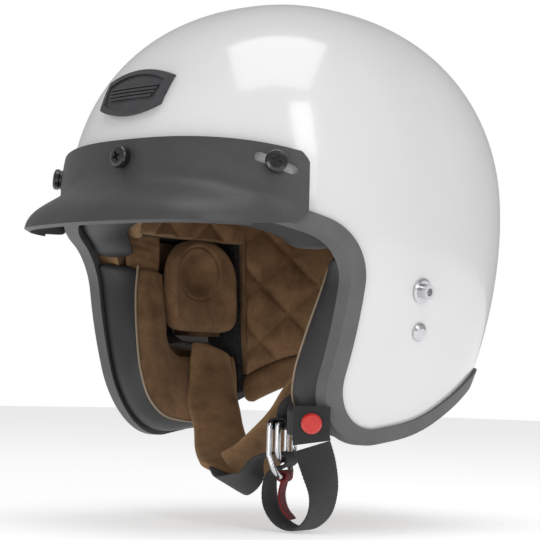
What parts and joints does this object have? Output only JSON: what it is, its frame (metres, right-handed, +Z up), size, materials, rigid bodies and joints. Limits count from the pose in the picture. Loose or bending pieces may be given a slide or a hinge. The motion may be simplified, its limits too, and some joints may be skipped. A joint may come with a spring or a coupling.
{
  "type": "open face motorcycle helmet",
  "caption": "Open face helmet with gloss shell, screwed-on peak, edge trim, quilted suede lining, cheek pads and a chin strap with double rings and a press snap.",
  "frame": {"origin": "centre of the shell's widest level, inside the head space", "axes": "+X the wearer's left, -Y forward, +Z up"},
  "size_m": [0.2498, 0.3116, 0.3235],
  "materials": {
    "shell_gloss": "gloss white lacquer",
    "trim_rubber": "matte grey rubber channel",
    "peak_plastic": "fine textured charcoal",
    "badge_rubber": "moulded dark grey rubber",
    "black_hardware": "gloss black",
    "foam": "expanded polystyrene, dark",
    "suede": "brown suede",
    "leatherette": "black fine grain leatherette",
    "webbing": "black twill webbing",
    "red_webbing": "red webbing",
    "steel": "bright plated steel",
    "red_plastic": "red press snap cap"
  },
  "bodies": {
    "helmet": {"outer_shell": "shell_gloss", "edge_trim": "trim_rubber", "peak": "peak_plastic", "badge": "badge_rubber", "peak_spacers": "badge_rubber", "peak_screws": "black_hardware", "peak_bushes": "black_hardware", "impact_liner": "foam", "cheek_foam_left": "foam", "cheek_foam_right": "foam", "crown_lining": "suede", "cheek_pad_left": "suede", "cheek_pad_right": "suede", "ear_pad_left": "suede", "ear_pad_right": "suede", "neck_roll": "suede", "brow_band": "leatherette", "cheek_facing_left": "leatherette", "cheek_facing_right": "leatherette", "anchor_webbing_left": "webbing", "anchor_webbing_right": "webbing", "goggle_stud_left": "steel", "goggle_stud_right": "steel", "stud_washers": "steel", "strap_rivet_left": "steel", "strap_rivet_right": "steel", "anchor_plates": "steel", "peak_inserts": "steel"},
    "chin_strap": {"strap_cover_left": "suede", "strap_cover_right": "suede", "long_webbing": "webbing", "strap_tail": "webbing", "short_webbing": "webbing", "snap_strap": "webbing", "snap_stud": "steel"},
    "outer_ring": {"d_ring_outer": "steel"},
    "inner_ring": {"d_ring_inner": "steel"},
    "tab": {"pull_tab": "red_webbing"},
    "snap": {"strap_tail_end": "webbing", "snap_cap": "red_plastic", "snap_socket": "steel"}
  },
  "joints": [
    {"name": "chin_strap_swing", "type": "hinge", "parent": "helmet", "child": "chin_strap", "pos_m": [0, 0, -0.088], "axis": [1, 0, 0], "range_deg": [-25, 35], "deforming": ["strap_cover_left", "strap_cover_right", "short_webbing", "long_webbing", "strap_tail", "snap_strap", "strap_tail_end", "pull_tab"]},
    {"name": "outer_ring_swing", "type": "hinge", "parent": "chin_strap", "child": "outer_ring", "pos_m": [0.04972, -0.05702, -0.129], "axis": [0.4067, -0.9135, 0], "range_deg": [-25, 3]},
    {"name": "inner_ring_swing", "type": "hinge", "parent": "chin_strap", "child": "inner_ring", "pos_m": [0.05428, -0.05498, -0.129], "axis": [0.4067, -0.9135, 0], "range_deg": [-2, 2]},
    {"name": "pull_tab_swing", "type": "hinge", "parent": "outer_ring", "child": "tab", "pos_m": [0.05393, -0.05514, -0.15969], "axis": [0.4067, -0.9135, 0], "range_deg": [-8, 12]},
    {"name": "snap_pull_off", "type": "slide", "parent": "chin_strap", "child": "snap", "axis": [0.682, -0.7314, 0], "range_m": [0, 0.012]}
  ]
}
